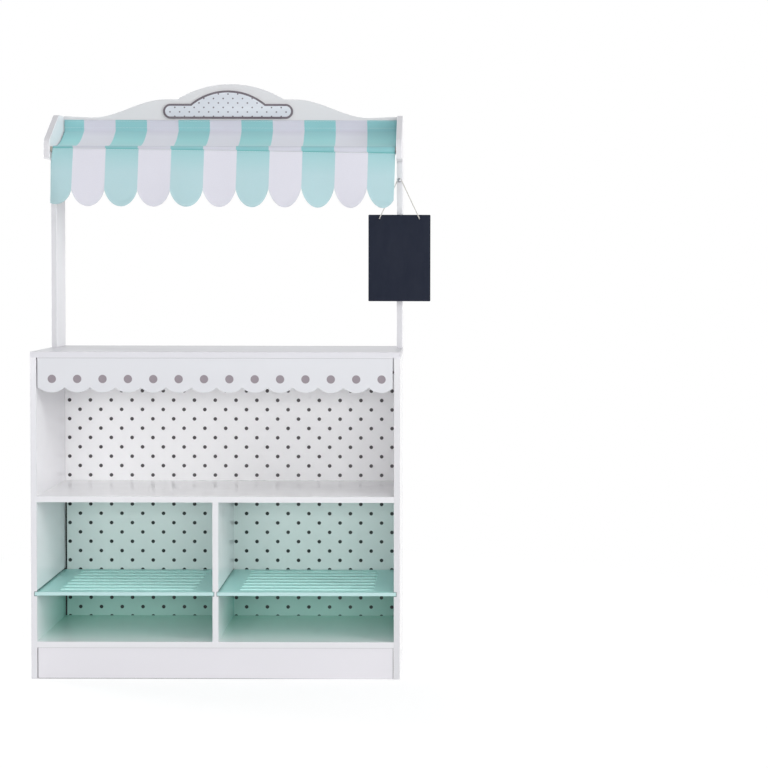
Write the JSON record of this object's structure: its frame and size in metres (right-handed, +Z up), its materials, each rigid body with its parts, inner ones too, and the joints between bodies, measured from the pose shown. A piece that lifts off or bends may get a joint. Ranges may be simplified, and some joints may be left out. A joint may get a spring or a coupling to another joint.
{
  "type": "toy market stall",
  "caption": "Child's play market stall: open shelf cabinet with pull-out slatted trays, uprights with a striped scalloped awning, arched header and a hanging chalkboard.",
  "frame": {"origin": "middle of the cabinet's footprint, on the floor", "axes": "+Z up; the front, where the stall is open, faces -Y; +X is to the right of someone who looks at the front"},
  "size_m": [0.81, 0.3, 1.236],
  "materials": {
    "white_lacquer": "white gloss lacquer on fibreboard",
    "printed_hardboard": "pale satin hardboard printed with small grey dots",
    "mint_lacquer": "mint gloss lacquer on fibreboard",
    "sign_print": "satin print on thin board with a dark border",
    "plain_wood": "bare turned wood",
    "awning_cloth": "plain woven cloth in mint and white stripes",
    "hook_tape": "white hook-and-loop tape",
    "bright_steel": "plated steel",
    "bolt_steel": "dark plated steel",
    "chalkboard_paint": "matt dark slate paint on thin board",
    "white_cord": "white twisted cotton cord"
  },
  "bodies": {
    "stall": {"left_side_panel": "white_lacquer", "right_side_panel": "white_lacquer", "countertop": "white_lacquer", "middle_shelf": "white_lacquer", "bottom_shelf": "white_lacquer", "centre_divider": "white_lacquer", "kick_board": "white_lacquer", "scalloped_apron": "white_lacquer", "upper_back_panel": "printed_hardboard", "lower_back_panel": "printed_hardboard", "left_upright": "white_lacquer", "right_upright": "white_lacquer", "header_board": "white_lacquer", "sign_plaque": "sign_print", "awning_rail": "plain_wood", "awning_tape": "hook_tape", "awning_roof": "awning_cloth", "awning_valance": "awning_cloth", "chalkboard_peg": "bright_steel", "shelf_bolts": "bolt_steel", "shelf_nuts": "bright_steel", "header_bolts": "bolt_steel", "header_nuts": "bright_steel", "upright_dowels": "plain_wood", "counter_dowels": "plain_wood", "apron_dowels": "plain_wood", "divider_dowels": "plain_wood", "kick_dowels": "plain_wood"},
    "left_tray": {"left_tray": "mint_lacquer"},
    "right_tray": {"right_tray": "mint_lacquer"},
    "chalkboard": {"chalkboard": "chalkboard_paint", "chalkboard_cord": "white_cord"}
  },
  "joints": [
    {"name": "left_tray_slide", "type": "slide", "parent": "stall", "child": "left_tray", "axis": [0, -1, 0], "range_m": [0, 0.2]},
    {"name": "right_tray_slide", "type": "slide", "parent": "stall", "child": "right_tray", "axis": [0, -1, 0], "range_m": [0, 0.2]},
    {"name": "chalkboard_swing", "type": "hinge", "parent": "stall", "child": "chalkboard", "pos_m": [0.369, 0.0485, 1.024], "axis": [0, 1, 0], "range_deg": [-30, 30]}
  ]
}
